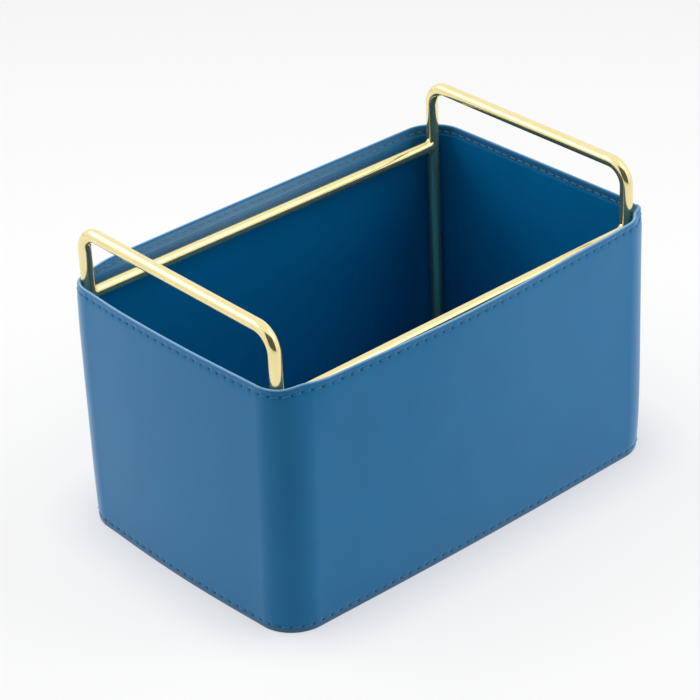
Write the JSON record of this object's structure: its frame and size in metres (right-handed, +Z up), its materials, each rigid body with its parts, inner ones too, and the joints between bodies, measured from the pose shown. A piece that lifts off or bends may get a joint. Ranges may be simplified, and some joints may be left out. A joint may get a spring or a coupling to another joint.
{
  "type": "open stationery bin with rod frame handles",
  "caption": "Open rectangular desk bin with a stitched leather shell, rounded corners and a polished rod frame whose end hoops stand above the rim as handles.",
  "frame": {"origin": "middle of the base, on the plane the bin stands on", "axes": "+Z up, +X along the long walls, +Y towards the back wall"},
  "size_m": [0.2536, 0.1676, 0.163],
  "materials": {
    "skin_leather": "fine-grained blue synthetic leather, satin",
    "lining_leather": "the same blue leather, matt, as lining",
    "stiffener_sheet": "plain sheet, hidden",
    "greyboard": "pressed board, hidden",
    "thread": "twisted blue sewing thread",
    "plated_rod": "polished brass plate on solid rod, welds dressed smooth"
  },
  "bodies": {
    "root": {"back_base_rail": "plated_rod", "back_top_rail": "plated_rod", "base_thread": "thread", "bottom_board": "greyboard", "bottom_skin": "skin_leather", "corner_seam_thread": "thread", "floor_board": "greyboard", "floor_lining": "lining_leather", "front_base_rail": "plated_rod", "front_top_rail": "plated_rod", "left_base_rail": "plated_rod", "left_hoop": "plated_rod", "outer_wall_skin": "skin_leather", "right_base_rail": "plated_rod", "right_hoop": "plated_rod", "rim_bobbin_thread": "thread", "rim_needle_thread": "thread", "wall_lining": "lining_leather", "wall_stiffener": "stiffener_sheet"}
  },
  "joints": []
}
